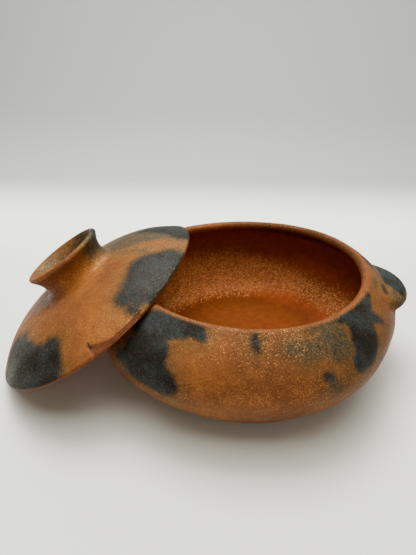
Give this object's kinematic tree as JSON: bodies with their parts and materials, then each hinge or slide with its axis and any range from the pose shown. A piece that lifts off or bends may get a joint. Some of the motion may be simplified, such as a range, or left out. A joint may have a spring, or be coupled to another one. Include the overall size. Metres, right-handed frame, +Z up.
{
  "type": "lidded clay bean pot",
  "caption": "Round hand-built clay pot with ear lugs and a loose domed lid with a cup-shaped knob, the lid leaning on its rim.",
  "frame": {"origin": "centre of the pot's flat base, on the table", "axes": "+Z up; X through the two lugs, with the lid leaning on the -X side; Y across"},
  "size_m": [0.3586, 0.254, 0.117],
  "materials": {
    "pot_clay": "unglazed, rubbed smooth, mica flecks and dark fire clouds",
    "lid_clay": "unglazed, rubbed smooth, mica flecks and dark fire clouds"
  },
  "bodies": {
    "pot": {"bowl": "pot_clay", "lug_right": "pot_clay", "lug_left": "pot_clay"},
    "lid": {"lid_dome": "lid_clay", "lid_knob": "lid_clay"}
  },
  "joints": [
    {"name": "lid_lift", "type": "slide", "parent": "pot", "child": "lid", "axis": [-0.5349, 0, 0.8449], "range_m": [0, 0.15]}
  ]
}
